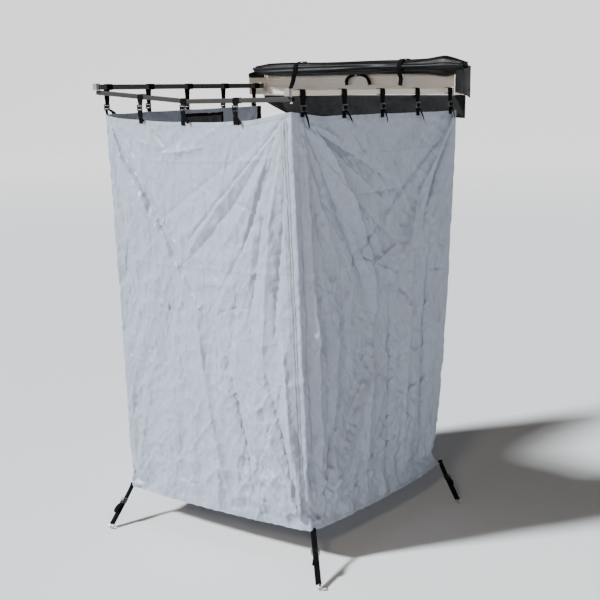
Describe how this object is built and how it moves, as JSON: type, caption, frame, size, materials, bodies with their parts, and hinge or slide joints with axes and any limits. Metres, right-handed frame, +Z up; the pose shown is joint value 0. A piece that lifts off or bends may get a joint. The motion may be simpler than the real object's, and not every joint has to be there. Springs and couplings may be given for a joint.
{
  "type": "privacy shower tent",
  "caption": "Privacy shower tent that hangs from a roof-rack casing: swing-out arms and a folding outer rail carry fabric walls on webbing straps.",
  "frame": {"origin": "on the rear face of the casing's back plate, mid-length, at the height of the arms' centre line", "axes": "+Z up, -Y away from the vehicle (the tent's outer side), +X along the vehicle towards the right arm"},
  "size_m": [1.5532, 1.4246, 2.339],
  "materials": {
    "champagne_aluminium": "anodised champagne",
    "bronze_aluminium": "dark bronze anodised",
    "cover_pvc": "black PVC-coated cloth",
    "webbing": "black woven webbing",
    "black_plastic": "moulded, fine texture",
    "grey_plastic": "moulded light grey",
    "silver_fabric": "silver-coated polyester",
    "steel": "zinc plated"
  },
  "bodies": {
    "casing": {"back_plate": "champagne_aluminium", "end_plate_left": "champagne_aluminium", "end_plate_right": "champagne_aluminium", "cover_roll": "cover_pvc", "cover_flap": "cover_pvc", "carry_handle": "black_plastic", "left_pivot_bolt": "steel", "right_pivot_bolt": "steel"},
    "left_arm": {"left_arm_tube": "bronze_aluminium", "left_arm_cap": "grey_plastic", "left_corner_bolt": "steel", "left_wall": "silver_fabric", "ground_strap_a": "webbing", "ground_strap_d": "webbing", "strap_left_1": "webbing", "strap_left_2": "webbing", "strap_left_3": "webbing", "strap_left_4": "webbing", "strap_left_5": "webbing", "buckle_left_1": "black_plastic", "buckle_left_2": "black_plastic", "buckle_left_3": "black_plastic", "buckle_left_4": "black_plastic", "buckle_left_5": "black_plastic"},
    "right_arm": {"right_arm_tube": "champagne_aluminium", "right_arm_cap": "grey_plastic", "right_corner_bolt": "steel", "right_wall": "silver_fabric", "ground_strap_b": "webbing", "ground_strap_c": "webbing", "strap_right_1": "webbing", "strap_right_2": "webbing", "strap_right_3": "webbing", "strap_right_4": "webbing", "strap_right_5": "webbing", "buckle_right_1": "black_plastic", "buckle_right_2": "black_plastic", "buckle_right_3": "black_plastic", "buckle_right_4": "black_plastic", "buckle_right_5": "black_plastic"},
    "left_rail": {"left_rail": "bronze_aluminium", "outer_wall_left": "silver_fabric", "strap_rail_1": "webbing", "strap_rail_2": "webbing", "buckle_rail_1": "black_plastic", "buckle_rail_2": "black_plastic"},
    "right_rail": {"right_rail": "bronze_aluminium", "outer_wall_right": "silver_fabric", "strap_rail_3": "webbing", "buckle_rail_3": "black_plastic"},
    "zip_slider": {"zip_slider": "steel"},
    "ground_ring_a": {"ground_ring_a": "steel"},
    "ground_peg_a": {"ground_peg_a": "steel"},
    "ground_ring_b": {"ground_ring_b": "steel"},
    "ground_peg_b": {"ground_peg_b": "steel"},
    "ground_ring_c": {"ground_ring_c": "steel"},
    "ground_peg_c": {"ground_peg_c": "steel"},
    "ground_ring_d": {"ground_ring_d": "steel"},
    "ground_peg_d": {"ground_peg_d": "steel"}
  },
  "joints": [
    {"name": "left_arm_swing", "type": "hinge", "parent": "casing", "child": "left_arm", "pos_m": [-0.595, -0.11, 0.015], "axis": [0, 0, 1], "range_deg": [0, 90], "deforming": ["left_wall"]},
    {"name": "right_arm_swing", "type": "hinge", "parent": "casing", "child": "right_arm", "pos_m": [0.595, -0.05, -0.015], "axis": [0, 0, 1], "range_deg": [-90, 0], "deforming": ["right_wall"]},
    {"name": "left_rail_fold", "type": "hinge", "parent": "left_arm", "child": "left_rail", "pos_m": [-0.595, -1.22, 0.015], "axis": [0, 0, 1], "range_deg": [0, 90], "deforming": ["outer_wall_left"]},
    {"name": "right_rail_fold", "type": "hinge", "parent": "right_arm", "child": "right_rail", "pos_m": [0.595, -1.22, -0.015], "axis": [0, 0, 1], "range_deg": [-90, 0], "deforming": ["outer_wall_right"]},
    {"name": "zip_slide", "type": "slide", "parent": "right_rail", "child": "zip_slider", "axis": [0.0102, -0.0728, 0.9973], "range_m": [0, 1.6]},
    {"name": "ground_ring_a_swing", "type": "hinge", "parent": "left_arm", "child": "ground_ring_a", "pos_m": [-0.42456, -1.39222, -2.04396], "axis": [-0.9806, -0.1961, 0], "range_deg": [-12, 12]},
    {"name": "ground_peg_a_pull", "type": "slide", "parent": "left_arm", "child": "ground_peg_a", "axis": [0.1284, -0.6419, 0.756], "range_m": [0, 0.15]},
    {"name": "ground_ring_b_swing", "type": "hinge", "parent": "right_arm", "child": "ground_ring_b", "pos_m": [0.75186, -1.2568, -2.04352], "axis": [-0.6958, -0.7182, 0], "range_deg": [-12, 12]},
    {"name": "ground_peg_b_pull", "type": "slide", "parent": "right_arm", "child": "ground_peg_b", "axis": [0.3648, -0.3534, 0.8614], "range_m": [0, 0.15]},
    {"name": "ground_ring_c_swing", "type": "hinge", "parent": "right_arm", "child": "ground_ring_c", "pos_m": [0.6821, -0.07594, -2.04392], "axis": [-0.4091, -0.9125, 0], "range_deg": [-12, 12]},
    {"name": "ground_peg_c_pull", "type": "slide", "parent": "right_arm", "child": "ground_peg_c", "axis": [0.5839, -0.2618, 0.7684], "range_m": [0, 0.15]},
    {"name": "ground_ring_d_swing", "type": "hinge", "parent": "left_arm", "child": "ground_ring_d", "pos_m": [-0.74224, -0.0597, -2.04398], "axis": [0.1322, 0.9912, 0], "range_deg": [-12, 12]},
    {"name": "ground_peg_d_pull", "type": "slide", "parent": "left_arm", "child": "ground_peg_d", "axis": [-0.653, 0.0871, 0.7524], "range_m": [0, 0.15]}
  ],
  "couplings": [
    {"joint": "left_rail_fold", "follows": "left_arm_swing", "ratio": 1},
    {"joint": "right_rail_fold", "follows": "right_arm_swing", "ratio": 1}
  ]
}
